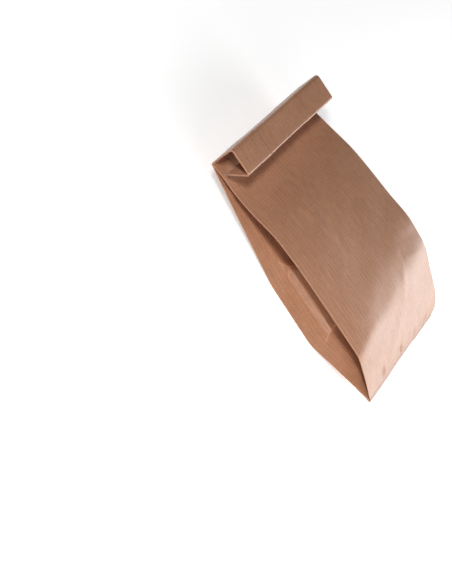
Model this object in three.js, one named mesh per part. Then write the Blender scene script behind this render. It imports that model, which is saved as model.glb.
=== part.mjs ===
// A brown paper lunch bag, puffed up and lying on its back, with its top rolled over three times.
// The bag is one sheet of paper folded and glued into a tube: a front panel, a back panel and a
// gusset down each side, pinched flat along the bottom, where its end is folded back and glued.
// Millimetres, +Z up. +Y runs from the bottom fold to the roll, and the front panel looks up.
import * as THREE from "three";

// The paper
const panelWidth = 130; // front and back panel, between their side creases
const gussetDepth = 36; // from the crease at the panel's edge to the crease inside
const sheet = 0.25; // one layer of the stiff paper, with the air it traps
const slit = 0.3; // gap between the two halves of a gusset that is folded flat

// The body, from the bottom fold to the first fold of the roll
const bodyLength = 203.8;
const bottomSkew = 2.3; // the left end of the bottom fold lies this much nearer the roll
const bottomLeftHeight = 19.5; // the bottom fold above the floor, at its ends
const bottomRightHeight = 10.1;
const rollHeight = 15.85; // the first fold of the roll above the floor
const flapDepth = 12; // the bottom end that is folded under the back and glued
const flapEdge = 0.2; // length over which the flap's cut edge steps down to the back panel
const flapDraw = 3; // the flap's ends are drawn in under the back panel over this width
const panelCrown = 3.5; // how far the front panel bulges above its two edges
const crownFullness = 4; // the higher, the flatter the bulge is in its middle
const pressedUntil = 5; // opening at which the middle of the panels no longer lies flat together
const stepWidth = 12.6; // the flat bag thins from four layers to two over this width
const edgeDraw = 1.2; // how far a side crease is drawn in where the bag is widest open
const widestOpening = 0.95; // of the gusset's depth, the most that one half of it can open

// How far each side crease swells from the plane of the flat bag. The first number of a pair is
// the place along the body, 0 at the bottom and 1 at the roll, and the second is in millimetres.
const frontLeftSwell = [
  [0, 0],
  [0.11, 8.4],
  [0.18, 12.3],
  [0.3, 12.2],
  [0.5, 11.8],
  [0.66, 10],
  [0.8, 3.9],
  [0.9, 1],
  [1, 0],
];
const frontRightSwell = [
  [0, 0],
  [0.026, 6.6],
  [0.08, 13.9],
  [0.18, 21.3],
  [0.3, 28.1],
  [0.37, 28.6],
  [0.51, 23.5],
  [0.7, 16.3],
  [0.85, 6.3],
  [0.92, 2],
  [1, 0],
];

// The back panel lies on the floor between these two places along the bag and climbs straight to
// the bottom fold and to the roll from there.
const rest = { from: 0.35, to: 0.598 };
const restRounding = 0.06; // length of the soft bend at each end of the flat patch

// The rulings of the front panel run across the bag, and lean where the right side stays open
// nearer the bottom than the left one does.
const leanAt = { left: 0.18, right: 0.32 };

// The lower half of the left gusset is buckled: its inner part is pushed out between two creases
// that run across it. Along is from the bottom fold, and across is from the gusset's outer edge.
const buckle = {
  along: [68, 73, 117, 125], // starts, stands out in full, starts to fall, ends
  across: [14, 22, 24, 36],
  height: 2.2,
};

// The roll: three folds, each followed by a straight flap, with the mouth at the end of the last
const flaps = [
  { length: 21.75, turn: 83.8, radius: 1.6 },
  { length: 21.2, turn: 94.4, radius: 2.2 },
  { length: 18.27, turn: 117.3, radius: 1.2 },
];

// Fineness of the surface
const gussetColumns = 6; // across each half of a gusset, and across the panel over it
const middleColumns = 8; // across the panel between the gussets
const bodyRows = 44;
const foldRows = 5;
const flapRows = 3;
const bottomFoldSteps = [0.5, 0.85]; // shares of the half thickness at which its rings lie

const halfWidth = panelWidth / 2;
const foldedPair = 2 * sheet; // two layers pressed together
const foldedSide = 2 * foldedPair + slit; // the flat bag where a gusset lies inside
const panelColumns = middleColumns + 2 * gussetColumns;
const lerp = THREE.MathUtils.lerp;
const smoothstep = THREE.MathUtils.smoothstep;

// Smooth line through points [x, y] that never overshoots them: cubic pieces whose slope at each
// point is the harmonic mean of its neighbours' slopes, or zero at a peak.
function smoothLine(points) {
  const slopes = points.slice(1).map((p, i) => (p[1] - points[i][1]) / (p[0] - points[i][0]));
  const tangents = points.map((_, i) => {
    if (i === 0) return slopes[0];
    if (i === points.length - 1) return slopes[i - 1];
    const product = slopes[i - 1] * slopes[i];
    return product > 0 ? (2 * product) / (slopes[i - 1] + slopes[i]) : 0;
  });
  return (x) => {
    let i = 0;
    while (i < points.length - 2 && x > points[i + 1][0]) i += 1;
    const width = points[i + 1][0] - points[i][0];
    const t = THREE.MathUtils.clamp((x - points[i][0]) / width, 0, 1);
    const start = points[i][1] * (1 + 2 * t) * (1 - t) ** 2 + tangents[i] * width * t * (1 - t) ** 2;
    const end = points[i + 1][1] * t * t * (3 - 2 * t) - tangents[i + 1] * width * t * t * (1 - t);
    return start + end;
  };
}

// Height of the back panel's outer face: straight slopes down to the floor from both ends, with
// a soft bend where they meet it.
function backHeight(at, from, to, bottomHeight) {
  const climb = (distance, run, height) => {
    const bent = distance + restRounding / 2;
    if (distance <= -restRounding / 2) return 0;
    const slope = height / run;
    return distance < restRounding / 2 ? (slope * bent * bent) / (2 * restRounding) : slope * distance;
  };
  const low = climb(from - at, from, bottomHeight - foldedSide / 2);
  const high = climb(at - to, 1 - to, rollHeight - foldedSide / 2);
  return Math.max(low, high);
}

// One side of the bag on a ring: where its crease lies, and how high the outer faces of the front
// and the back panel are there. place turns the ring's share into a share of this side's length.
function sideAt(ring, sign, swell, place) {
  const at = place(ring);
  const bottomHeight = sign < 0 ? bottomLeftHeight : bottomRightHeight;
  const middle = lerp(bottomHeight, rollHeight, at);
  const front = middle + foldedSide / 2 + swell(at);
  const back = Math.min(backHeight(at, place(rest.from), place(rest.to), bottomHeight), front - foldedSide);
  const openness = (front - back - foldedSide) / gussetDepth;
  return {
    x: sign * (halfWidth - edgeDraw * openness),
    y: lerp(-sign * bottomSkew, bodyEnd, at),
    front,
    back,
  };
}

// Thickness of the flat bag at a share u of the panel's width: two layers in the middle, and
// four with the slit between them where a gusset lies inside.
function foldedThickness(u) {
  const inFromEdge = Math.min(u, 1 - u) * panelWidth;
  return lerp(foldedSide, foldedPair, smoothstep(inFromEdge, gussetDepth, gussetDepth + stepWidth));
}

// Share of the panel's width at one of its columns, which match the gusset's where they overlap
function columnShare(i) {
  const gussetShare = gussetDepth / panelWidth;
  if (i <= gussetColumns) return (gussetShare * i) / gussetColumns;
  if (i >= panelColumns - gussetColumns) return 1 - (gussetShare * (panelColumns - i)) / gussetColumns;
  return lerp(gussetShare, 1 - gussetShare, (i - gussetColumns) / middleColumns);
}

// 0 outside the first and the last of four places, 1 between the middle two, straight in between
function plateau(value, [start, full, fall, end]) {
  const rise = (value - start) / (full - start);
  const drop = (end - value) / (end - fall);
  return THREE.MathUtils.clamp(Math.min(rise, drop), 0, 1);
}

// The closed outline of the bag across its length, in steps that are the same for every ring:
// front panel to the right, right gusset, back panel to the left, left gusset.
function outline({ left, right, crown, flap, dent }) {
  const points = [];
  const panel = (u, isFront) => {
    const key = isFront ? "front" : "back";
    const side = isFront ? 1 : -1;
    const open = lerp(left.front - left.back, right.front - right.back, u) - foldedSide;
    const pressed = 1 - smoothstep(open, 0, pressedUntil);
    const dip = ((foldedSide - foldedThickness(u)) / 2) * pressed;
    const bulge = isFront ? crown * (1 - Math.abs(2 * u - 1) ** crownFullness) : 0;
    const drawn = smoothstep(Math.min(u, 1 - u) * panelWidth, 0, flapDraw);
    const under = isFront ? 0 : flap * foldedThickness(u) * drawn;
    const height = lerp(left[key], right[key], u) + side * (bulge - dip) - under;
    points.push({ x: lerp(left.x, right.x, u), y: lerp(left.y, right.y, u), z: height });
  };
  const gusset = (end, sign, fromFront) => {
    const middle = (end.front + end.back) / 2;
    const halfOpening = (end.front - end.back) / 2 - foldedPair;
    const reach = Math.sqrt(gussetDepth ** 2 - Math.min(halfOpening, gussetDepth * widestOpening) ** 2);
    const half = (side) =>
      Array.from({ length: gussetColumns + 1 }, (_, i) => {
        const across = i / gussetColumns;
        const out = sign < 0 && side < 0 ? dent * plateau(across * gussetDepth, buckle.across) : 0;
        return {
          x: end.x - sign * reach * across + (sign * out * halfOpening) / gussetDepth,
          y: end.y,
          z: middle + side * lerp(halfOpening, slit / 2, across) + (out * reach) / gussetDepth,
        };
      });
    const first = half(fromFront ? 1 : -1);
    points.push(...first, ...half(fromFront ? -1 : 1).reverse());
  };
  for (let i = 0; i <= panelColumns; i += 1) panel(columnShare(i), true);
  gusset(right, 1, true);
  for (let i = panelColumns; i >= 0; i -= 1) panel(columnShare(i), false);
  gusset(left, -1, false);
  return points;
}

// Body
const bodyEnd = bodyLength - flaps[0].radius * Math.tan(THREE.MathUtils.degToRad(flaps[0].turn) / 2);
const leftSwell = smoothLine(frontLeftSwell);
const rightSwell = smoothLine(frontRightSwell);
const flapShare = flapDepth / bodyLength;
const leanShare = (leanAt.left + leanAt.right) / 2;
const leftPlace = smoothLine([[0, 0], [flapShare, flapShare], [leanShare, leanAt.left], [1, 1]]);
const rightPlace = smoothLine([[0, 0], [flapShare, flapShare], [leanShare, leanAt.right], [1, 1]]);

// A ring of the body at a share of its length. flap is 1 where the glued flap lies under the back.
function bodyRing(at, flap) {
  const left = sideAt(at, -1, leftSwell, leftPlace);
  const right = sideAt(at, 1, rightSwell, rightPlace);
  const crown = panelCrown * Math.sin(Math.PI * at) ** 2;
  const dent = buckle.height * plateau(at * bodyLength, buckle.along);
  return outline({ left, right, crown, flap, dent }).map((p) => new THREE.Vector3(p.x, p.y, p.z));
}

// The bottom fold is a half-round edge, so its last rings draw in towards its middle line.
function bottomFoldRings() {
  const ring = bodyRing(0, 1);
  const middle = (p) =>
    lerp(bottomLeftHeight, bottomRightHeight, (p.x + halfWidth) / panelWidth) - foldedSide / 2;
  return bottomFoldSteps.map((share) => {
    const reach = foldedSide * Math.sqrt(1 - share ** 2);
    return ring.map((p) => new THREE.Vector3(p.x, p.y - reach, lerp(middle(p), p.z, share)));
  });
}

// Roll: the flat bag carried along a line that turns towards the front at each fold
function rollRings() {
  const flatSide = (sign) => ({ x: sign * halfWidth, y: 0, front: foldedSide / 2, back: -foldedSide / 2 });
  const flat = outline({ left: flatSide(-1), right: flatSide(1), crown: 0, flap: 0, dent: 0 });
  const rings = [];
  let heading = 0;
  let y = bodyEnd;
  let z = rollHeight;
  const place = () => {
    const across = [-Math.sin(heading), Math.cos(heading)];
    rings.push(flat.map((p) => new THREE.Vector3(p.x, y + p.z * across[0], z + p.z * across[1])));
  };
  const setbacks = flaps.map((f) => f.radius * Math.tan(THREE.MathUtils.degToRad(f.turn) / 2));
  flaps.forEach((f, i) => {
    const step = THREE.MathUtils.degToRad(f.turn) / foldRows;
    const chord = 2 * f.radius * Math.sin(step / 2);
    for (let k = 0; k < foldRows; k += 1) {
      heading += step / 2;
      y += chord * Math.cos(heading);
      z += chord * Math.sin(heading);
      heading += step / 2;
      place();
    }
    const straight = f.length - setbacks[i] - (setbacks[i + 1] ?? 0);
    for (let k = 0; k < flapRows; k += 1) {
      y += (straight / flapRows) * Math.cos(heading);
      z += (straight / flapRows) * Math.sin(heading);
      place();
    }
  });
  return rings;
}

// Triangles that close one ring, each over points that face each other across the paper
function capFaces() {
  const columns = Array.from({ length: panelColumns + 1 }, (_, i) => i);
  const across = Array.from({ length: gussetColumns + 1 }, (_, i) => i);
  const front = columns;
  const rightFront = across.map((i) => panelColumns + 1 + i);
  const rightBack = across.map((i) => rightFront[gussetColumns] + 1 + gussetColumns - i);
  const back = columns.map((i) => rightBack[0] + 1 + panelColumns - i);
  const leftBack = across.map((i) => back[0] + 1 + i);
  const leftFront = across.map((i) => leftBack[gussetColumns] + 1 + gussetColumns - i);
  const faces = [];
  const strip = (top, bottom) => {
    for (let i = 0; i < top.length - 1; i += 1) {
      faces.push([top[i], bottom[i + 1], top[i + 1]], [top[i], bottom[i], bottom[i + 1]]);
    }
  };
  const fan = (tip, chain) => {
    for (let i = 0; i < chain.length - 1; i += 1) faces.push([tip, chain[i], chain[i + 1]]);
  };
  const near = gussetColumns;
  const far = panelColumns - gussetColumns;
  strip(front.slice(0, near + 1), leftFront);
  strip(leftBack, back.slice(0, near + 1));
  fan(front[near + 1], [front[near], leftFront[near], leftBack[near], back[near], back[near + 1]]);
  strip(front.slice(near + 1, far), back.slice(near + 1, far));
  fan(front[far - 1], [back[far - 1], back[far], rightBack[near], rightFront[near], front[far]]);
  strip(front.slice(far), rightFront.slice().reverse());
  strip(rightBack.slice().reverse(), back.slice(far));
  return faces;
}

// One closed surface over all the rings, with a flat cap on the bottom fold and on the mouth
function skin(rings) {
  const count = rings[0].length;
  const positions = rings.flat().flatMap((p) => [p.x, p.y, p.z]);
  const faces = [];
  for (let r = 0; r < rings.length - 1; r += 1) {
    for (let i = 0; i < count; i += 1) {
      const j = (i + 1) % count;
      const [a, b, c, d] = [r * count + i, r * count + j, (r + 1) * count + j, (r + 1) * count + i];
      faces.push(a, b, c, a, c, d);
    }
  }
  [0, rings.length - 1].forEach((r) => {
    const outward = r === 0 ? [0, 1, 2] : [0, 2, 1];
    capFaces().forEach((face) => faces.push(...outward.map((k) => r * count + face[k])));
  });
  const geometry = new THREE.BufferGeometry();
  geometry.setAttribute("position", new THREE.Float32BufferAttribute(positions, 3));
  geometry.setIndex(faces);
  geometry.computeVertexNormals();
  return geometry;
}

function bagRings() {
  const rings = bottomFoldRings();
  for (let i = 0; i <= flapRows; i += 1) rings.push(bodyRing((flapShare * i) / flapRows, 1));
  for (let i = 0; i <= bodyRows; i += 1) {
    rings.push(bodyRing(lerp(flapShare + flapEdge / bodyLength, 1, i / bodyRows), 0));
  }
  return [...rings, ...rollRings()];
}

const kraft = new THREE.MeshStandardMaterial({
  color: "#b98763",
  roughness: 0.62,
  metalness: 0,
});
const bag = new THREE.Mesh(skin(bagRings()), kraft);
bag.name = "paper_bag";

// The origin is under the middle of the bag, on the floor that its back panel lies on.
bag.geometry.computeBoundingBox();
const box = bag.geometry.boundingBox;
bag.position.set(-(box.min.x + box.max.x) / 2, -(box.min.y + box.max.y) / 2, -box.min.z);

const group = new THREE.Group();
group.add(bag);

export default group;
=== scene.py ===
# A brown paper lunch bag, lying on its back with its top rolled over, on a pale floor.
# The bag is one sheet of ribbed kraft paper, and is made here as that sheet: a closed ring of
# paper is carried along the bag, from the cut end of the glued flap to the serrated mouth.
import math

import bpy
import numpy as np
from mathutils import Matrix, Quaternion, Vector


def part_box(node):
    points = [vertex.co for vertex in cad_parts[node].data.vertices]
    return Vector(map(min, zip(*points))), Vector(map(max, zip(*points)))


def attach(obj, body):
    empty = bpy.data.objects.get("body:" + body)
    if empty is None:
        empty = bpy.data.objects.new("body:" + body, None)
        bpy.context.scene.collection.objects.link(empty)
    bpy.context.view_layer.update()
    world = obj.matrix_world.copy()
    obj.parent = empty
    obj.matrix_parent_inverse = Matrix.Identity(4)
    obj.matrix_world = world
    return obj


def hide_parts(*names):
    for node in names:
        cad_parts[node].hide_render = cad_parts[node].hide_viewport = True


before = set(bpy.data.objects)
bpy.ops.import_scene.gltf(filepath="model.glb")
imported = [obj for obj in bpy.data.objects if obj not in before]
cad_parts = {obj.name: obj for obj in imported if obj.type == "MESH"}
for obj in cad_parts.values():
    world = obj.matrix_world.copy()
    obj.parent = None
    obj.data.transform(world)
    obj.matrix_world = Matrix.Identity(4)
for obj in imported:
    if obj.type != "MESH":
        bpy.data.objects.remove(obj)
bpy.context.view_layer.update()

MM = 0.001

# Sizes in millimetres. The bag's own are those of the solid that the sheet replaces.
PANEL_WIDTH = 130.0
GUSSET_DEPTH = 36.0
BODY_LENGTH = 203.8
BOTTOM_SKEW = 2.3  # how far the left end of the bottom line lies further up the bag than its middle
BOTTOM_HEIGHT = {"left": 19.5, "right": 10.1}
ROLL_HEIGHT = 15.85
FLAP_DEPTH = 12.0
PANEL_CROWN = 3.5
CROWN_FLATNESS = 4  # the crown is flat in the middle and falls off this sharply at the sides
EDGE_DRAW = 1.2  # how far a side is drawn in where it is open by the depth of its gusset
SOLID_FOLD = 1.3  # thickness of the folded side in the solid, whose box the paper keeps to
SOLID_FOLD_REACH = 1.13  # how far the solid's bottom fold stands out past the skewed line
SOLID_FOLD_UNTIL = 6.0  # a side keeps to the solid's own thickness once it is open this far

PLY = 0.28  # from one layer of the folded bag to the next
PAPER = 0.14  # thickness of the paper
TOOTH_DEPTH = 1.1  # serrated cut at both ends of the sheet
SEAM = (-44.0, -32.0)  # the glued overlap of the sheet's two sides, down the back panel
SEAM_STEP = 0.16
SEAM_RISE = 1.5  # over this width the upper layer climbs onto the covered edge
SEAM_EDGE = 0.001  # width of its cut edge, as a share of the panel
FLAP_GAP = 0.2
FLAP_DRAW = 1.2  # the flap's ends are drawn in by this much
FLOOR_GAP = 0.02

# How the flat layers of the bag part, by the distance in millimetres between the outer layers
PRESSED_UNTIL = 5.0  # the panels hug the folded gussets until a side is open this far
GUSSET_FREED = (2.0, 14.0)  # a gusset leaves the panels it is pressed between in this range
PLEAT_BLEND = 1.35  # the step at a gusset's inner crease ends at this many gusset depths
STEEPEST_GUSSET = 0.95  # largest share of its depth by which half a gusset rises

# The front panel's height over the bottom fold along each side, by the share of the body
FRONT_SWELL = {
    "left": [
        (0, 0), (0.11, 8.4), (0.18, 12.3), (0.3, 12.2), (0.5, 11.8), (0.66, 10), (0.8, 4.1),
        (0.89, 1.7), (0.95, 1.3), (1, 0),
    ],
    "right": [
        (0, 0), (0.026, 6.6), (0.08, 13.9), (0.18, 21.3), (0.3, 28.1), (0.37, 28.6), (0.51, 23.5),
        (0.7, 16.3), (0.85, 6.3), (0.92, 2), (1, 0),
    ],
}
REST = (0.35, 0.598)  # the ring shares between which the back panel lies on the floor
REST_ROUNDING = 0.06
LEAN_AT = {"left": 0.18, "right": 0.32}  # share of each side that the most slanting ring meets
FLAPS = [(21.75, 83.8, 1.6), (21.2, 94.4, 2.2), (18.27, 117.3, 1.2)]  # length, turn, radius

# Fineness of the sheet
GUSSET_COLUMNS = 26
MIDDLE_COLUMNS = 40
CREASE_ANGLES = (60.0, 0.0, -60.0)
FLAP_ROWS = 4
FOLD_ROWS = 6
BODY_ROWS = 104
STRAIGHT_ROWS = 6

# Slow unevenness of each part: the seed, height and length of its waves
WAVES = {
    "front": (3, 0.22, 48),
    "back": (8, 0.22, 48),
    "left": (21, 0.3, 40),
    "right": (34, 0.3, 40),
}
WAVES_BEGIN = (6, 45)  # where along the bag the waves grow and where they fade
WAVES_END = (150, 195)
WAVE_COUNT = 7
WAVE_SPREAD = (0.6, 1.6)  # each wave's length, as a share of the part's own
WAVES_TOGETHER = 3  # about how many of the waves meet at their height
PANEL_CALM = 6  # how closely the waves come to a panel's edges, and those of a gusset to its own
GUSSET_CALM = 0.7
RELIEF_BEGIN = (0, 4)  # no crease or dent reaches the layers pressed together at the bottom

# Creases: (across, along) of both ends, width and height, or depth where it is negative. Across
# is from the left edge of a panel or the outer edge of a gusset, along is from the bottom line.
MARKS = {
    "front": [
        ((93, 53), (78, 36), 6, 0.4),
        ((80, 38), (38, 6), 9, 0.5),
        ((93, 55), (130, 40), 13, 1.5),
        ((41, 148), (45, 108), 7, 0.7),
        ((52, 128), (47, 100), 5, -0.45),
        ((106, 0), (109, 8), 3.2, -1.5),
        ((61, 0), (60, 10), 3.2, -1.6),
        ((26, 0), (28, 9), 3.2, -1.5),
        ((88, 0), (84, 8), 3, -1.0),
    ],
    "back": [
        ((30, 8), (58, 40), 9, 0.4),
        ((100, 6), (88, 34), 8, 0.4),
        ((20, 150), (60, 170), 8, -0.35),
    ],
    "left_back": [
        ((17.5, 122.5), (29, 119.5), 6, 1.7),
        ((12, 131.5), (19, 124), 3, 1.0),
        ((18, 124), (14, 117), 3, -0.8),
        ((1, 187), (8, 181), 2.6, 0.9),
        ((6, 181), (10, 172), 2.6, -0.4),
        ((9, 66), (18, 71), 2.6, 0.7),
    ],
    "left_front": [((10, 118), (30, 128), 5, 0.6)],
    "right_back": [((8, 96), (26, 112), 4, 0.8), ((26, 112), (18, 130), 4, -0.6)],
    "right_front": [((12, 84), (30, 92), 5, 0.7)],
}
FADED_END = 0.15  # square of the share of its height that a crease keeps at its ends
SAGS = {
    "left_back": [
        {
            "crease": [(18, 124.1), (15.4, 130.6), (11.6, 146.1), (9, 163.9), (5.1, 181.6)],
            "along": (120, 125, 150, 190),
            "ramp": 9,
            "depth": 2.8,
        },
        {
            "crease": [(27, 8), (23, 26), (19, 46), (17, 68)],
            "along": (4, 22, 60, 69),
            "ramp": 8,
            "depth": 1.4,
        },
    ],
}
BUCKLES = {
    "left_back": [
        {
            "along": (68.5, 70.5, 116, 121),
            "across": (16, 18.3, 30, 36),
            "lean": 0.2,
            "height": 2.6,
        },
    ],
    "right_back": [
        {
            "along": (44, 50, 88, 97),
            "across": (12, 20, 24, 36),
            "lean": -0.2,
            "height": 1.8,
        },
    ],
}
# Creases with a painted highlight: pale lines along them, with the ends given as for the other
# marks
PAINTED_HIGHLIGHT_CREASES = {
    "left_back": [
        ((12.9, 130.6), (18, 124.1)),
        ((18, 124.1), (15, 118.5)),
        ((18, 124.1), (26, 121)),
        ((18, 124.1), (19.3, 88.7)),
        ((19.3, 88.7), (18, 71)),
        ((10.3, 66.4), (18, 71)),
        ((18, 71), (29, 73)),
    ],
}

# Look of the paper, with lengths in metres
RIB_PITCH = 0.0031
RIB_WANDER = 1.6  # in radians of a rib's turn, for each unit of the clouds
KRAFT_DARK = (0.315, 0.139, 0.073, 1)
KRAFT_LIGHT = (0.635, 0.322, 0.187, 1)
# Painted highlight: a pale line along each outer crease and each listed gusset crease, standing for
# folds that catch the light
CREASE_HIGHLIGHT_REACH = 0.0009  # half the width of the pale line along a crease
CREASE_PAINTED_HIGHLIGHT = 0.5
# Painted shade: a darker line along the bottom fold, which turns away from the lamps
BOTTOM_LINE_SHADE_REACH = 0.0024
BOTTOM_LINE_PAINTED_SHADE = 0.75
NOISES = {  # scale, detail and stretch round and along the bag
    "streaks": (900, 3, (1, 0.06, 1)),
    "clouds": (170, 4, (1, 1, 1)),
    "fibres": (2600, 2, (1, 0.22, 1)),
    "patches": (28, 3, (1, 1, 1)),
}
NOISE_ROUGHNESS = 0.6
# What each texture adds to the paper's tone, to its roughness and to its height
TONE = {
    "rib": 0.06,
    "fine_rib": 0.03,
    "streaks": 0.85,
    "clouds": 0.4,
    "fibres": 1.0,
    "patches": 0.3,
}
MIDDLE_TONE = 0.5
GLOSS = {"rib": 0.025, "patches": 0.2}
GLAZE_ROUGHNESS = 0.45
RELIEF = {"rib": 0.35, "fine_rib": 0.12, "streaks": 0.6, "fibres": 0.5}
RELIEF_HEIGHT = 0.00004
GLAZE = {"Specular IOR Level": 0.8, "Sheen Weight": 0.12, "Sheen Roughness": 0.4}

# Stage, with places and lengths in metres
FLOOR_SIZE = 6.0  # from the bag to the floor's edges
FLOOR_COLOUR = (0.8, 0.8, 0.8, 1)
FLOOR_GLOW = 0.5  # what the floor adds to its own colour where it is seen, to show as white
WORLD_STRENGTH = 0.04
LIGHTS_TARGET = (0, 0, 0.02)
LIGHTS = {  # direction from the bag, distance, width and height, watts
    "key_light": ((-0.6, 0.44, 0.67), 0.9, (0.2, 0.1), 4.35),
    "near_fill": ((-0.7, -0.6, 0.4), 0.35, (0.3, 0.3), 0.57),
    "low_fill": ((-0.3, -0.93, 0.2), 0.35, (0.3, 0.15), 0.2),
    "side_card": ((0.68, -0.66, 0.32), 0.5, (0.43, 0.31), 2.05),
}
CAMERA_PLACE = (-0.7035, 0.20404, 0.56585)
CAMERA_AIM = (-0.1059, 0.0272, 0)
CAMERA_ROLL = 67.65  # degrees
FOCAL_PIXELS = 1250.0
PICTURE_HEIGHT = 584.0  # in pixels
SENSOR_WIDTH = 36.0
CLIP_START = 0.01

HALF_WIDTH = PANEL_WIDTH / 2
FOLDED = 3 * PLY  # between the outer layers where a gusset lies inside
BODY_END = BODY_LENGTH - FLAPS[0][2] * math.tan(math.radians(FLAPS[0][1]) / 2)
BOTTOM_ROW = FLAP_ROWS + FOLD_ROWS  # the sheet's row on the bottom line, where the body begins
BODY = slice(BOTTOM_ROW, BOTTOM_ROW + BODY_ROWS + 1)


def smoothstep(value, low, high):
    t = np.clip((np.asarray(value, float) - low) / (high - low), 0, 1)
    return t * t * (3 - 2 * t)


def lerp(a, b, t):
    return a + (b - a) * t


def smooth_line(points):
    """A smooth line through the points that never overshoots them."""
    x, y = np.array(points, float).T
    widths = np.diff(x)
    slopes = np.diff(y) / widths
    tangents = np.concatenate([slopes[:1], np.zeros(len(x) - 2), slopes[-1:]])
    for i in range(1, len(x) - 1):
        product = slopes[i - 1] * slopes[i]
        if product > 0:
            tangents[i] = 2 * product / (slopes[i - 1] + slopes[i])

    def line(value):
        i = np.clip(np.searchsorted(x, value) - 1, 0, len(widths) - 1)
        t = np.clip((value - x[i]) / widths[i], 0, 1)
        start = y[i] * (1 + 2 * t) * (1 - t) ** 2 + tangents[i] * widths[i] * t * (1 - t) ** 2
        end = y[i + 1] * t * t * (3 - 2 * t) - tangents[i + 1] * widths[i] * t * t * (1 - t)
        return start + end

    return line


FLAP_SHARE = FLAP_DEPTH / BODY_LENGTH
LEAN_SHARE = (LEAN_AT["left"] + LEAN_AT["right"]) / 2
SIDES = {
    name: {
        "sign": sign,
        "swell": smooth_line(FRONT_SWELL[name]),
        "place": smooth_line(
            [(0, 0), (FLAP_SHARE, FLAP_SHARE), (LEAN_SHARE, LEAN_AT[name]), (1, 1)]
        ),
    }
    for name, sign in (("left", -1), ("right", 1))
}


def back_height(at, begin, end, bottom_height):
    """Height of the back panel's outer face at one side crease."""

    def climb(distance, run, height):
        if distance <= -REST_ROUNDING / 2:
            return 0.0
        slope = height / run
        if distance >= REST_ROUNDING / 2:
            return slope * distance
        bent = distance + REST_ROUNDING / 2
        return slope * bent * bent / (2 * REST_ROUNDING)

    low = climb(begin - at, begin, bottom_height - SOLID_FOLD / 2)
    high = climb(at - end, 1 - end, ROLL_HEIGHT - SOLID_FOLD / 2)
    return max(low, high)


def side_at(ring, name):
    """One side of the body on a ring: its crease's place and its outer layers' heights."""
    side = SIDES[name]
    at = float(side["place"](ring))
    middle = lerp(BOTTOM_HEIGHT[name], ROLL_HEIGHT, at)
    solid_front = middle + SOLID_FOLD / 2 + float(side["swell"](at))
    begin, end = (float(side["place"](share)) for share in REST)
    solid_back = back_height(at, begin, end, BOTTOM_HEIGHT[name])
    solid_back = min(solid_back, solid_front - SOLID_FOLD)
    openness = max(0.0, solid_front - solid_back - SOLID_FOLD)
    thinner = (SOLID_FOLD - FOLDED) / 2 * max(0.0, 1 - openness / SOLID_FOLD_UNTIL)
    return {
        "x": side["sign"] * (HALF_WIDTH - EDGE_DRAW * openness / GUSSET_DEPTH - PLY / 2),
        "y": lerp(-side["sign"] * BOTTOM_SKEW, BODY_END, at),
        "front": solid_front - thinner - PAPER / 2,
        "back": solid_back + thinner + PAPER / 2,
    }


def ring_layout():
    """The runs of points that make up a ring of paper, and how many points it has.

    Each run has its slice of the ring and its points' places: shares of the width from the left
    on a panel, shares of the depth from the outer edge on a gusset, and angles round a crease.
    """
    gusset = np.linspace(0, 1, GUSSET_COLUMNS + 1)
    share = GUSSET_DEPTH / PANEL_WIDTH
    middle = np.linspace(share, 1 - share, MIDDLE_COLUMNS + 1)[1:-1]
    panel = np.concatenate([gusset * share, middle, 1 - gusset[::-1] * share])
    seam_edge = SEAM[1] / PANEL_WIDTH + 0.5
    nearest = np.argmin(np.abs(panel - seam_edge))
    back = np.sort(np.append(np.delete(panel, nearest), [seam_edge, seam_edge + SEAM_EDGE]))
    crease = np.radians(CREASE_ANGLES)
    runs = [
        ("front", panel),
        ("right_front_crease", crease),
        ("right_front", gusset),
        ("right_inner_crease", crease),
        ("right_back", gusset[::-1]),
        ("right_back_crease", crease),
        ("back", back[::-1]),
        ("left_back_crease", -crease),
        ("left_back", gusset),
        ("left_inner_crease", -crease),
        ("left_front", gusset[::-1]),
        ("left_front_crease", -crease),
    ]
    slices = {}
    start = 0
    for name, places in runs:
        slices[name] = (slice(start, start + len(places)), places)
        start += len(places)
    return slices, start


RUNS, RING_POINTS = ring_layout()


def folded_thickness(u):
    """Distance between the outer layers of the flat bag at a share u of the panel's width."""
    from_edge = np.minimum(u, 1 - u) * PANEL_WIDTH
    return lerp(FOLDED, PLY, smoothstep(from_edge, GUSSET_DEPTH, GUSSET_DEPTH * PLEAT_BLEND))


def place_panel(points, name, left, right, crown):
    """Places the front or the back panel between its left and its right side."""
    where, u = RUNS[name]
    opening = lerp(left["front"] - left["back"], right["front"] - right["back"], u) - FOLDED
    pressed = 1 - smoothstep(opening, 0, PRESSED_UNTIL)
    dip = (FOLDED - folded_thickness(u)) / 2 * pressed
    bulge = crown * (1 - np.abs(2 * u - 1) ** CROWN_FLATNESS)
    points[where, 0] = lerp(left["x"], right["x"], u)
    points[where, 1] = lerp(left["y"], right["y"], u)
    points[where, 2] = lerp(left[name], right[name], u)
    points[where, 2] += (1 if name == "front" else -1) * (bulge - dip)


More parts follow.
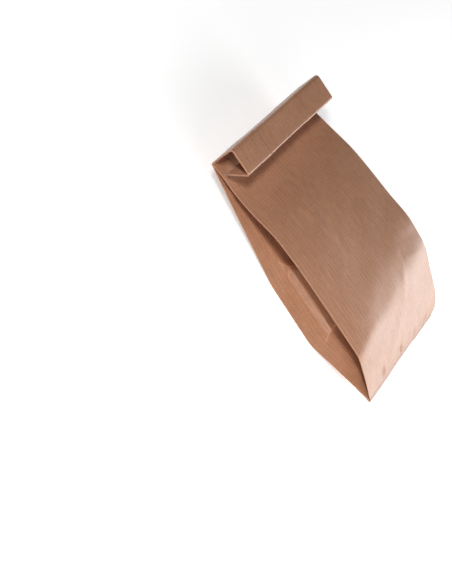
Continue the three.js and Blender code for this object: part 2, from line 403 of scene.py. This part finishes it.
def place_gusset(points, name, left, right):
    """Places the gusset of one side, with its creases."""
    sign = SIDES[name]["sign"]
    end = left if name == "left" else right
    middle = (end["front"] + end["back"]) / 2
    half = (end["front"] - end["back"]) / 2 - PLY
    reach = math.sqrt(GUSSET_DEPTH**2 - min(half, GUSSET_DEPTH * STEEPEST_GUSSET) ** 2)
    for layer, side in (("front", 1), ("back", -1)):
        where, depth = RUNS[f"{name}_{layer}"]
        points[where, 0] = end["x"] - sign * reach * depth
        points[where, 2] = middle + side * lerp(half, PLY / 2, depth)
        where, angle = RUNS[f"{name}_{layer}_crease"]
        points[where, 0] = end["x"] + sign * PLY / 2 * np.cos(angle)
        points[where, 2] = end[layer] - side * PLY / 2 + PLY / 2 * np.sin(angle)
    where, angle = RUNS[f"{name}_inner_crease"]
    points[where, 0] = end["x"] - sign * (reach + PLY / 2 * np.cos(angle))
    points[where, 2] = middle + PLY / 2 * np.sin(angle)
    for run, (where, _) in RUNS.items():
        if run.startswith(name):
            points[where, 1] = end["y"]

    pressed = 1 - smoothstep(2 * half, *GUSSET_FREED)
    for run in (f"{name}_front", f"{name}_inner_crease", f"{name}_back"):
        where, _ = RUNS[run]
        u = (points[where, 0] - left["x"]) / (right["x"] - left["x"])
        panels_middle = lerp(left["front"] + left["back"], right["front"] + right["back"], u) / 2
        points[where, 1] += (lerp(left["y"], right["y"], u) - end["y"]) * pressed
        points[where, 2] += (panels_middle - middle) * pressed


def ring_points(left, right, crown):
    """Points x, y, z of a ring of paper between its left and its right side."""
    points = np.zeros((RING_POINTS, 3))
    place_panel(points, "front", left, right, crown)
    place_panel(points, "back", left, right, 0)
    for name in SIDES:
        place_gusset(points, name, left, right)
    return points


def body_ring(ring):
    crown = PANEL_CROWN * math.sin(math.pi * ring) ** 2
    return ring_points(side_at(ring, "left"), side_at(ring, "right"), crown)


def flat_ring():
    """The ring of the flat bag, about its own middle: x across, z from back to front."""
    left, right = (
        {"x": side * (HALF_WIDTH - PLY / 2), "y": 0, "front": FOLDED / 2, "back": -FOLDED / 2}
        for side in (-1, 1)
    )
    return ring_points(left, right, 0)


FLAT = flat_ring()
RING_SHARE = np.clip((FLAT[:, 0] + HALF_WIDTH) / PANEL_WIDTH, 0, 1)
RING_STEPS = np.linalg.norm(np.diff(FLAT, axis=0), axis=1)
RING_DISTANCE = np.concatenate([[0], np.cumsum(RING_STEPS)])


def along_path(y, z, heading):
    """The flat ring carried to a place with its own heading, in radians from +Y towards +Z."""
    points = FLAT.copy()
    points[:, 1] = y - FLAT[:, 2] * np.sin(heading)
    points[:, 2] = z + FLAT[:, 2] * np.cos(heading)
    return points


def bottom_rings():
    """The glued flap under the back, from its cut end, and the fold that joins it to the body."""
    rings = []
    layers = folded_thickness(RING_SHARE) + PLY + FLAP_GAP
    left, right = side_at(0, "left"), side_at(0, "right")
    line_y = lerp(left["y"], right["y"], RING_SHARE)
    left_middle, right_middle = ((end["front"] + end["back"]) / 2 for end in (left, right))
    line_z = lerp(left_middle, right_middle, RING_SHARE)
    left_drop = left["back"] - side_at(FLAP_SHARE, "left")["back"]
    right_drop = right["back"] - side_at(FLAP_SHARE, "right")["back"]
    slope = np.arctan2(lerp(left_drop, right_drop, RING_SHARE), FLAP_DEPTH)
    for i in range(FLAP_ROWS, 0, -1):
        run = FLAP_DEPTH * i / FLAP_ROWS
        points = FLAT.copy()
        points[:, 0] *= 1 - FLAP_DRAW * (1 + i / FLAP_ROWS) / PANEL_WIDTH
        points[:, 1] = line_y + run * np.cos(slope) + FLAT[:, 2] * np.sin(slope)
        points[:, 2] = line_z - layers - run * np.sin(slope) - FLAT[:, 2] * np.cos(slope)
        rings.append(points)
    for turn in np.linspace(np.pi, 0, FOLD_ROWS + 1)[:-1]:
        points = FLAT.copy()
        reach = layers / 2 + FLAT[:, 2]
        points[:, 1] = line_y - reach * np.sin(turn)
        points[:, 2] = line_z - layers / 2 + reach * np.cos(turn)
        rings.append(points)
    return rings


def roll_rings():
    """The three flaps of the rolled top, each after its fold, up to the mouth."""
    rings = []
    heading, y, z = 0.0, BODY_END, ROLL_HEIGHT
    setbacks = [radius * math.tan(math.radians(turn) / 2) for _, turn, radius in FLAPS] + [0]
    for i, (length, turn, radius) in enumerate(FLAPS):
        step = math.radians(turn) / FOLD_ROWS
        chord = 2 * radius * math.sin(step / 2)
        for _ in range(FOLD_ROWS):
            heading += step / 2
            y += chord * math.cos(heading)
            z += chord * math.sin(heading)
            heading += step / 2
            rings.append(along_path(y, z, heading))
        straight = length - setbacks[i] - setbacks[i + 1]
        for _ in range(STRAIGHT_ROWS):
            y += straight / STRAIGHT_ROWS * math.cos(heading)
            z += straight / STRAIGHT_ROWS * math.sin(heading)
            rings.append(along_path(y, z, heading))
    return rings


def tent(distance, width):
    return np.maximum(0, 1 - np.abs(distance) / width)


def away_from(across, along, start, end):
    """Distance of places on the flat sheet from a line, and their shares along it."""
    start, end = np.array(start), np.array(end)
    line = end - start
    from_start = (across - start[0], along - start[1])
    t = np.clip((from_start[0] * line[0] + from_start[1] * line[1]) / (line @ line), 0, 1)
    return np.hypot(from_start[0] - t * line[0], from_start[1] - t * line[1]), t


def ridge(across, along, start, end, width, height):
    """A sharp crease that fades towards both of its ends; a dent where the height is negative."""
    distance, t = away_from(across, along, start, end)
    return height * tent(distance, width) * np.sqrt(np.clip(4 * t * (1 - t), FADED_END, 1))


def plateau(value, start, full, fall, end):
    """0 outside the first and last place, 1 between the middle two, and straight in between."""
    return np.clip(np.minimum((value - start) / (full - start), (end - value) / (end - fall)), 0, 1)


def gusset_buckle(across, along, buckle):
    """The inner part of a gusset's lower half, pushed out between two creases across it."""
    lean = buckle["lean"] * (across - buckle["across"][0])
    out = plateau(along - lean, *buckle["along"]) * plateau(across, *buckle["across"])
    return buckle["height"] * out


def gusset_sag(across, along, sag):
    """A hollow that falls away from a slanting crease and rises again to the inner crease."""
    crease_across, crease_along = np.array(sag["crease"]).T
    crease = np.interp(along, crease_along, crease_across)
    deepest = crease + sag["ramp"]
    fall = (across - crease) / sag["ramp"]
    rise = (GUSSET_DEPTH - across) / (GUSSET_DEPTH - deepest)
    return -sag["depth"] * plateau(along, *sag["along"]) * np.clip(np.minimum(fall, rise), 0, 1)


def waves(across, along, seed, height, length):
    """Slow unevenness of paper that has been handled."""
    random = np.random.default_rng(seed)
    total = np.zeros_like(across)
    for _ in range(WAVE_COUNT):
        angle, phase = random.uniform(0, np.pi), random.uniform(0, 2 * np.pi)
        scale = length * random.uniform(*WAVE_SPREAD)
        place = across * np.cos(angle) + along * np.sin(angle)
        total += np.sin(2 * np.pi * place / scale + phase)
    return height * total / WAVES_TOGETHER


def body_relief(shares):
    """Height of creases, dents and waves over the smooth body, for each ring and point of it."""
    relief = np.zeros((len(shares), RING_POINTS))
    along = shares * BODY_LENGTH
    waves_share = smoothstep(along, *WAVES_BEGIN) * (1 - smoothstep(along, *WAVES_END))

    def add(part, run, width, calm):
        where, share = RUNS[run]
        across, rows = np.meshgrid(share * width, along)
        relief[:, where] = waves(across, rows, *WAVES[part]) * calm(across) * waves_share[:, None]
        for mark in MARKS.get(run, []):
            relief[:, where] += ridge(across, rows, *mark)
        for buckle in BUCKLES.get(run, []):
            relief[:, where] += gusset_buckle(across, rows, buckle)
        for sag in SAGS.get(run, []):
            relief[:, where] += gusset_sag(across, rows, sag)

    def calm_panel(across):
        return 1 - np.abs(2 * across / PANEL_WIDTH - 1) ** PANEL_CALM

    def calm_gusset(across):
        return np.sin(np.pi * np.clip(across / GUSSET_DEPTH, 0, 1)) ** GUSSET_CALM

    for layer in ("front", "back"):
        add(layer, layer, PANEL_WIDTH, calm_panel)
        for side in SIDES:
            add(side, f"{side}_{layer}", GUSSET_DEPTH, calm_gusset)
    return relief * smoothstep(along, *RELIEF_BEGIN)[:, None]


def outer_face():
    """How far the outer face stands off the sheet's middle: further where the sheet overlaps."""
    stand_off = np.full(RING_POINTS, PAPER / 2)
    where, u = RUNS["back"]
    x = (u - 0.5) * PANEL_WIDTH
    overlap = np.where(x <= SEAM[1], smoothstep(x, SEAM[0] - SEAM_RISE, SEAM[0]), 0)
    stand_off[where] += SEAM_STEP * overlap
    return stand_off


def grid_normals(grid):
    """Outward normals of a grid of rings."""
    around = np.roll(grid, -1, axis=1) - np.roll(grid, 1, axis=1)
    along = np.gradient(grid, axis=0)
    normals = np.cross(around, along)
    return normals / np.maximum(np.linalg.norm(normals, axis=2, keepdims=True), 1e-9)


def sheet_grid():
    """The middle of the sheet: a row for each ring of paper, from the flap's end to the mouth."""
    shares = np.linspace(0, 1, BODY_ROWS + 1)
    grid = np.array(bottom_rings() + [body_ring(share) for share in shares] + roll_rings())
    grid[BODY] += grid_normals(grid)[BODY] * body_relief(shares)[:, :, None]
    grid[BODY, :, 2] = np.maximum(grid[BODY, :, 2], outer_face() + FLOOR_GAP)
    teeth = (np.arange(RING_POINTS) % 2)[:, None] * TOOTH_DEPTH
    for end, inward in ((0, 1), (-1, -2)):
        step = grid[inward] - grid[end]
        grid[end] += step / np.linalg.norm(step, axis=1, keepdims=True) * teeth
    return grid


def paper_coordinates(grid):
    """Where each point lies on the flat sheet, in metres: round the ring and along the bag."""
    steps = np.linalg.norm(np.diff(grid, axis=0), axis=2).mean(axis=1)
    along = np.concatenate([[0], np.cumsum(steps)])
    u, v = np.meshgrid(RING_DISTANCE, along)
    return np.stack([u, v], axis=2) * MM


def add_to_scene(name, data):
    item = bpy.data.objects.new(name, data)
    bpy.context.scene.collection.objects.link(item)
    return item


def thick_sheet(name, grid, uv):
    """A closed mesh of the sheet with its thickness: outer face, inner face and both cut edges."""
    rows, columns, _ = grid.shape
    normals = grid_normals(grid)
    outer = grid + normals * outer_face()[:, None]
    inner = grid - normals * PAPER / 2
    vertices = np.concatenate([outer.reshape(-1, 3), inner.reshape(-1, 3)]) * MM
    row, column = np.meshgrid(np.arange(rows - 1), np.arange(columns), indexing="ij")
    following = (column + 1) % columns
    a = (row * columns + column).ravel()
    b = (row * columns + following).ravel()
    c = ((row + 1) * columns + following).ravel()
    d = ((row + 1) * columns + column).ravel()
    inside = rows * columns
    start = np.arange(columns)
    start_next = (start + 1) % columns
    last = (rows - 1) * columns + start
    last_next = (rows - 1) * columns + start_next
    faces = np.concatenate(
        [
            np.stack([a, b, c, d], 1),
            np.stack([a, d, c, b], 1) + inside,
            np.stack([start, start + inside, start_next + inside, start_next], 1),
            np.stack([last, last_next, last_next + inside, last + inside], 1),
        ]
    )
    mesh = bpy.data.meshes.new(name)
    mesh.from_pydata(vertices.tolist(), [], faces.tolist())
    layer = mesh.uv_layers.new(name="paper")
    corner_vertices = np.zeros(len(mesh.loops), int)
    mesh.loops.foreach_get("vertex_index", corner_vertices)
    flat_uv = np.concatenate([uv.reshape(-1, 2), uv.reshape(-1, 2)])
    layer.data.foreach_set("uv", flat_uv[corner_vertices].astype(np.float32).ravel())
    mesh.shade_smooth()
    return add_to_scene(name, mesh)


def painted_highlight_lines(uv):
    """Both ends of each crease with a painted highlight along it on the sheet, in metres."""
    body_v = uv[BODY, 0, 1]
    body_along = np.linspace(0, BODY_LENGTH, BODY_ROWS + 1)

    def on_sheet(run, across, along):
        edge = RING_DISTANCE[RUNS[run][0]][0]
        return Vector((float(edge + across) * MM, float(np.interp(along, body_along, body_v)), 0))

    return [
        (on_sheet(run, *start), on_sheet(run, *end))
        for run, lines in PAINTED_HIGHLIGHT_CREASES.items()
        for start, end in lines
    ]


def outer_creases():
    """Where the sheet's outer creases lie round the ring, in metres."""
    runs = [f"{side}_{layer}_crease" for side in SIDES for layer in ("front", "back")]
    return [0.0] + [float(RING_DISTANCE[RUNS[run][0]].mean()) * MM for run in runs]


class NodeGraph:
    """The nodes of a new material, with short ways to add and to join them."""

    def __init__(self, name):
        self.material = bpy.data.materials.new(name)
        self.material.use_nodes = True
        self.nodes = self.material.node_tree.nodes
        self.nodes.clear()

    def feed(self, socket, value):
        """Joins another node's socket to this one, or sets a plain value on it."""
        if isinstance(value, bpy.types.NodeSocket):
            self.material.node_tree.links.new(value, socket)
        else:
            socket.default_value = value

    def add(self, kind, inputs=None, **settings):
        node = self.nodes.new(f"ShaderNode{kind}")
        for name, value in settings.items():
            setattr(node, name, value)
        for name, value in (inputs or {}).items():
            self.feed(node.inputs[name], value)
        return node

    def maths(self, operation, *values):
        node = self.add("Math", operation=operation)
        for socket, value in zip(node.inputs, values):
            self.feed(socket, value)
        return node.outputs[0]

    def vector_maths(self, operation, *values):
        node = self.add("VectorMath", operation=operation)
        for socket, value in zip(node.inputs, values):
            self.feed(socket, value)
        return node.outputs["Value" if operation in ("DOT_PRODUCT", "DISTANCE") else "Vector"]

    def noise(self, place, scale, detail, stretch):
        """Noise about 0 at a place on the sheet."""
        mapping = self.add("Mapping", {"Vector": place, "Scale": stretch})
        settings = {"Scale": scale, "Detail": detail, "Roughness": NOISE_ROUGHNESS}
        noise = self.add("TexNoise", {"Vector": mapping.outputs[0], **settings})
        return self.maths("SUBTRACT", noise.outputs[0], 0.5)

    def nearness(self, distances, reach):
        """1 where one of the distances is 0, falling to 0 where all are at the reach."""
        total = 0.0
        for distance in distances:
            near = self.maths("SUBTRACT", 1.0, self.maths("DIVIDE", distance, reach))
            total = self.maths("MAXIMUM", total, near)
        return total

    def weighted(self, base, textures, weights):
        """A base with each of the weighted textures added to it."""
        total = base
        for name, weight in weights.items():
            total = self.maths("ADD", total, self.maths("MULTIPLY", textures[name], weight))
        return total


def from_value(graph, value, places):
    """Distances of a value from each of the places."""
    return [graph.maths("ABSOLUTE", graph.maths("SUBTRACT", value, place)) for place in places]


def from_lines(graph, place, lines):
    """Distances of a place on the sheet from each of the lines."""
    distances = []
    for start, end in lines:
        line = end - start
        from_start = graph.vector_maths("SUBTRACT", place, start)
        share = graph.vector_maths("DOT_PRODUCT", from_start, line / line.length_squared)
        share = graph.maths("MINIMUM", graph.maths("MAXIMUM", share, 0.0), 1.0)
        foot = graph.vector_maths("MULTIPLY", line, share)
        distances.append(graph.vector_maths("DISTANCE", from_start, foot))
    return distances


def kraft_material(creases, lines, bottom_line):
    """Ribbed brown paper with a glaze, with painted highlights along its creases and painted shade
    along its bottom line.
    """
    graph = NodeGraph("kraft_paper")
    place = graph.add("UVMap", uv_map="paper").outputs[0]
    around, along, _ = graph.add("SeparateXYZ", {"Vector": place}).outputs

    textures = {name: graph.noise(place, *settings) for name, settings in NOISES.items()}
    wander = graph.maths("MULTIPLY", textures["clouds"], RIB_WANDER)
    turns = graph.maths("ADD", graph.maths("MULTIPLY", around, 2 * math.pi / RIB_PITCH), wander)
    textures["rib"] = graph.maths("SINE", turns)
    textures["fine_rib"] = graph.maths("SINE", graph.maths("MULTIPLY", turns, 2.0))

    # Painted highlight along the outer creases and the gusset's listed creases
    crease_distances = from_value(graph, around, creases) + from_lines(graph, place, lines)
    textures["painted_crease_highlight"] = graph.nearness(crease_distances, CREASE_HIGHLIGHT_REACH)
    # Painted shade along the bottom fold
    line_distances = from_value(graph, along, [bottom_line])
    textures["bottom_line"] = graph.nearness(line_distances, BOTTOM_LINE_SHADE_REACH)

    # Painted light: the crease highlights lighten the tone, and the shade along the bottom fold
    # darkens it
    marks = {"painted_crease_highlight": CREASE_PAINTED_HIGHLIGHT, "bottom_line": -BOTTOM_LINE_PAINTED_SHADE}
    tone = graph.weighted(MIDDLE_TONE, textures, {**TONE, **marks})
    mix = graph.add("Mix", data_type="RGBA", clamp_factor=True)
    graph.feed(mix.inputs[0], tone)
    graph.feed(mix.inputs["A"], KRAFT_DARK)
    graph.feed(mix.inputs["B"], KRAFT_LIGHT)

    height = graph.weighted(0.0, textures, RELIEF)
    bump = graph.add("Bump", {"Strength": 1.0, "Distance": RELIEF_HEIGHT, "Height": height})
    inputs = {
        "Base Color": mix.outputs["Result"],
        "Roughness": graph.weighted(GLAZE_ROUGHNESS, textures, GLOSS),
        "Normal": bump.outputs[0],
        **GLAZE,
    }
    shader = graph.add("BsdfPrincipled", inputs)
    graph.add("OutputMaterial", {"Surface": shader.outputs[0]})
    return graph.material


def floor_material():
    """A pale matt floor that also glows a little where it is seen, so that it shows as white."""
    graph = NodeGraph("floor")
    rays = graph.add("LightPath").outputs
    reflected = graph.maths("MAXIMUM", rays["Is Glossy Ray"], rays["Is Transmission Ray"])
    seen = graph.maths("MAXIMUM", rays["Is Camera Ray"], reflected)
    diffuse = graph.add("BsdfDiffuse", {"Color": FLOOR_COLOUR})
    glow = graph.add("Emission", {"Strength": graph.maths("MULTIPLY", seen, FLOOR_GLOW)})
    both = graph.add("AddShader")
    graph.feed(both.inputs[0], diffuse.outputs[0])
    graph.feed(both.inputs[1], glow.outputs[0])
    graph.add("OutputMaterial", {"Surface": both.outputs[0]})
    return graph.material


def add_bag():
    grid = sheet_grid()
    uv = paper_coordinates(grid)
    low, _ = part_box("paper_bag")
    grid[:, :, 1] += low.y / MM + BOTTOM_SKEW + SOLID_FOLD_REACH
    bag = thick_sheet("paper_sheet", grid, uv)
    bottom_line = float(uv[BOTTOM_ROW, 0, 1])
    bag.data.materials.append(kraft_material(outer_creases(), painted_highlight_lines(uv), bottom_line))
    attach(bag, "root")
    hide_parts("paper_bag")


def add_floor():
    mesh = bpy.data.meshes.new("floor")
    corners = [(x * FLOOR_SIZE, y * FLOOR_SIZE, 0) for x, y in ((-1, -1), (1, -1), (1, 1), (-1, 1))]
    mesh.from_pydata(corners, [], [(0, 1, 2, 3)])
    mesh.materials.append(floor_material())
    add_to_scene("floor", mesh)


def add_lights():
    for name, (direction, distance, size, power) in LIGHTS.items():
        data = bpy.data.lights.new(name, "AREA")
        data.shape = "RECTANGLE"
        data.size, data.size_y = size
        data.energy = power
        light = add_to_scene(name, data)
        toward = Vector(direction).normalized()
        light.location = Vector(LIGHTS_TARGET) + toward * distance
        light.rotation_euler = toward.to_track_quat("Z", "Y").to_euler()
        light.visible_camera = False
    world = bpy.data.worlds.new("studio")
    bpy.context.scene.world = world
    world.use_nodes = True
    background = world.node_tree.nodes["Background"]
    background.inputs["Color"].default_value = (1, 1, 1, 1)
    background.inputs["Strength"].default_value = WORLD_STRENGTH


def add_camera():
    """The photograph's view of the bag, rolled as the bag leans in the picture."""
    data = bpy.data.cameras.new("camera")
    data.sensor_width = SENSOR_WIDTH
    data.lens = FOCAL_PIXELS / PICTURE_HEIGHT * SENSOR_WIDTH
    data.clip_start = CLIP_START
    camera = add_to_scene("camera", data)
    location = Vector(CAMERA_PLACE)
    look = (Vector(CAMERA_AIM) - location).to_track_quat("-Z", "Y")
    camera.location = location
    camera.rotation_mode = "QUATERNION"
    camera.rotation_quaternion = look @ Quaternion((0, 0, 1), math.radians(CAMERA_ROLL))
    bpy.context.scene.camera = camera


bpy.context.scene.view_settings.view_transform = "Standard"
add_bag()
add_floor()
add_lights()
add_camera()
